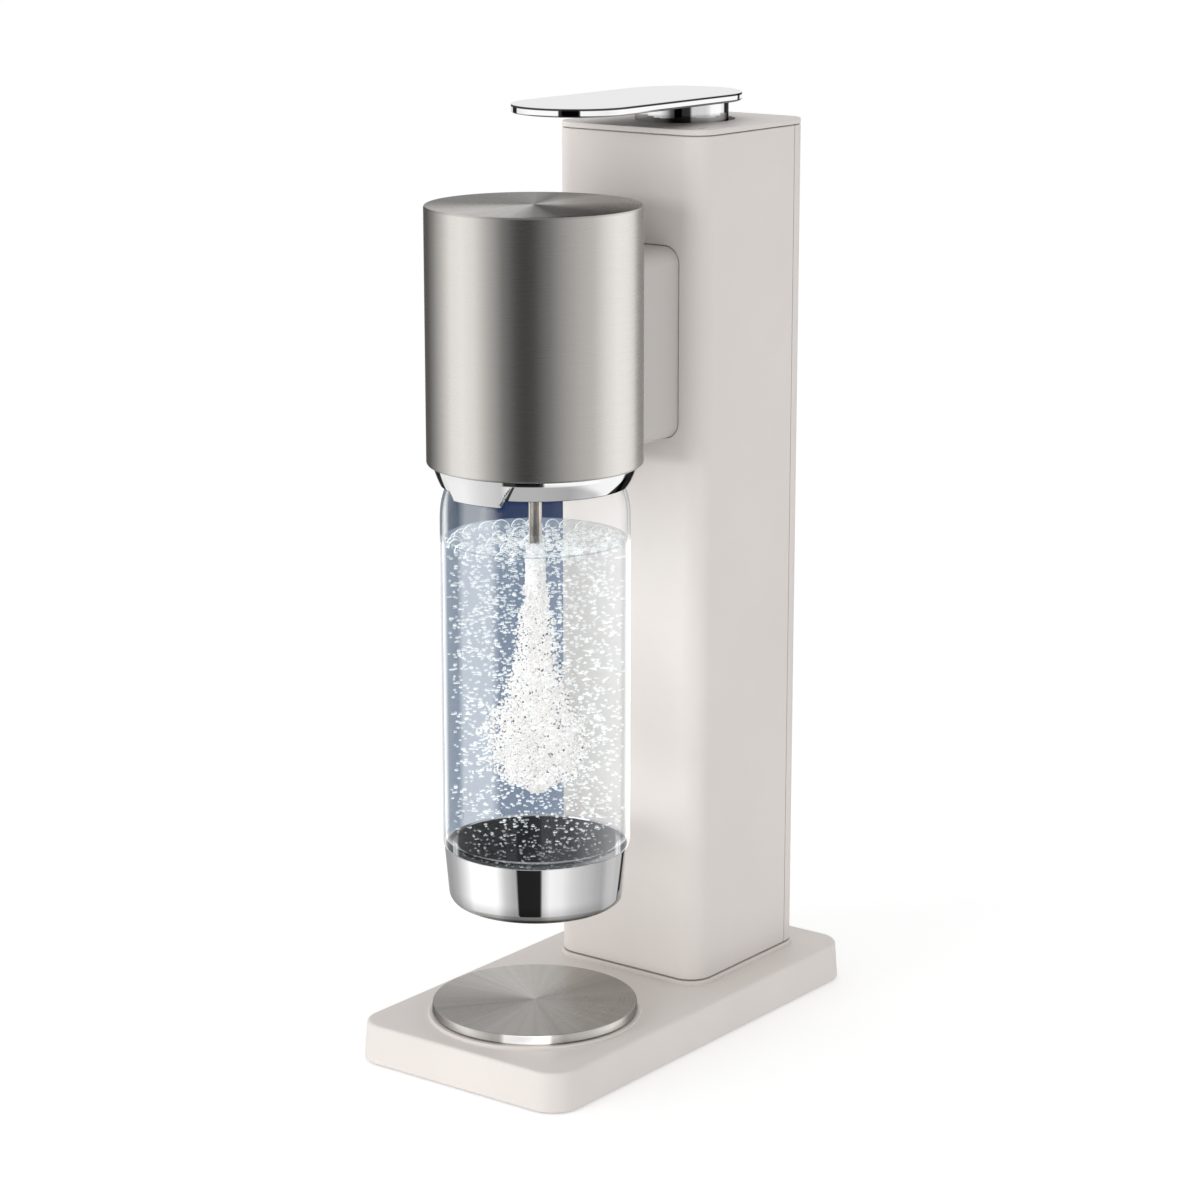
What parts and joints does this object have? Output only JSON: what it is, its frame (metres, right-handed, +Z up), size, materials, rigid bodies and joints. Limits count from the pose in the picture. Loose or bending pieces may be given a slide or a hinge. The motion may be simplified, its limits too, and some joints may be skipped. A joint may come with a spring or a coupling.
{
  "type": "soda carbonator",
  "caption": "Counter-top soda carbonator with a gas cylinder column, a press lever, a tilting bottle holder and a removable bottle.",
  "frame": {"origin": "centre of the base's footprint, on the surface it stands on", "axes": "+Z up, -Y towards the bottle and the user, +X to the right as the user sees it"},
  "size_m": [0.126, 0.243, 0.4526],
  "materials": {
    "cream_plastic": "satin moulded",
    "steel": "brushed",
    "chrome": "polished",
    "clear_bottle": "clear gloss",
    "black_plastic": "moulded",
    "rubber": "matte",
    "silicone": "matte",
    "frame_paint": "powder coat",
    "brass": "machined",
    "zinc": "zinc plated",
    "alloy": "spun"
  },
  "bodies": {
    "root": {"base_shell": "cream_plastic", "base_cover": "black_plastic", "base_screw_1": "zinc", "base_screw_2": "zinc", "base_screw_3": "zinc", "base_screw_4": "zinc", "foot_1": "rubber", "foot_2": "rubber", "foot_3": "rubber", "foot_4": "rubber", "column_shell": "cream_plastic", "top_cap": "cream_plastic", "cap_mark": "chrome", "chassis": "frame_paint", "neck_cover": "cream_plastic", "bridge_arm": "frame_paint", "head_shell": "steel", "head_frame": "frame_paint", "pivot_pin_left": "zinc", "pivot_pin_right": "zinc", "gas_cylinder": "alloy", "cylinder_valve": "brass", "cylinder_cradle": "black_plastic", "cylinder_clip": "black_plastic", "valve_block": "black_plastic", "return_spring": "zinc", "relief_body": "brass", "relief_spring": "zinc", "gas_hose": "black_plastic", "hose_fitting": "brass", "hose_swivel": "brass", "pivot_bracket": "zinc", "lever_pin": "zinc"},
    "lever": {"lever_hub": "chrome", "lever_plate": "chrome"},
    "plunger": {"plunger": "zinc"},
    "valve_pin": {"valve_pin": "zinc"},
    "holder": {"bottle_holder": "chrome", "holder_carrier": "black_plastic", "bottle_seal": "silicone", "nozzle_body": "black_plastic", "nozzle_tube": "steel", "nozzle_tip": "black_plastic"},
    "bottle": {"bottle_body": "clear_bottle", "bottle_cup": "chrome"},
    "drip_disc": {"drip_disc": "steel", "disc_pad": "rubber"},
    "rear_cover": {"rear_cover": "cream_plastic"},
    "relief_poppet": {"relief_poppet": "zinc"}
  },
  "joints": [
    {"name": "lever_press", "type": "hinge", "parent": "root", "child": "lever", "pos_m": [0, 0.084, 0.43], "axis": [1, 0, 0], "range_deg": [0, 5], "stiffness_Nm_per_rad": 4, "springref_deg": -5.73},
    {"name": "plunger_press", "type": "slide", "parent": "root", "child": "plunger", "axis": [0, 0, -1], "range_m": [0, 0.0016], "deforming": ["return_spring"]},
    {"name": "valve_pin_press", "type": "slide", "parent": "root", "child": "valve_pin", "axis": [0, 0, -1], "range_m": [0, 0.0016]},
    {"name": "holder_tilt", "type": "hinge", "parent": "root", "child": "holder", "pos_m": [0, -0.0574, 0.301], "axis": [-1, 0, 0], "range_deg": [0, 8]},
    {"name": "bottle_release", "type": "slide", "parent": "holder", "child": "bottle", "axis": [0, 0, -1], "range_m": [0, 0.03]},
    {"name": "disc_lift", "type": "slide", "parent": "root", "child": "drip_disc", "axis": [0, 0, 1], "range_m": [0, 0.015]},
    {"name": "rear_cover_open", "type": "hinge", "parent": "root", "child": "rear_cover", "pos_m": [0, 0.102, 0.024], "axis": [-1, 0, 0], "range_deg": [0, 25]},
    {"name": "relief_lift", "type": "slide", "parent": "root", "child": "relief_poppet", "axis": [0, 0, 1], "range_m": [0, 0.0012], "stiffness_N_per_m": 100, "springref_m": -0.01, "deforming": ["relief_spring"]}
  ],
  "couplings": [
    {"joint": "plunger_press", "follows": "lever_press", "m_per_rad": 0.0171},
    {"joint": "valve_pin_press", "follows": "lever_press", "m_per_rad": 0.0171}
  ]
}
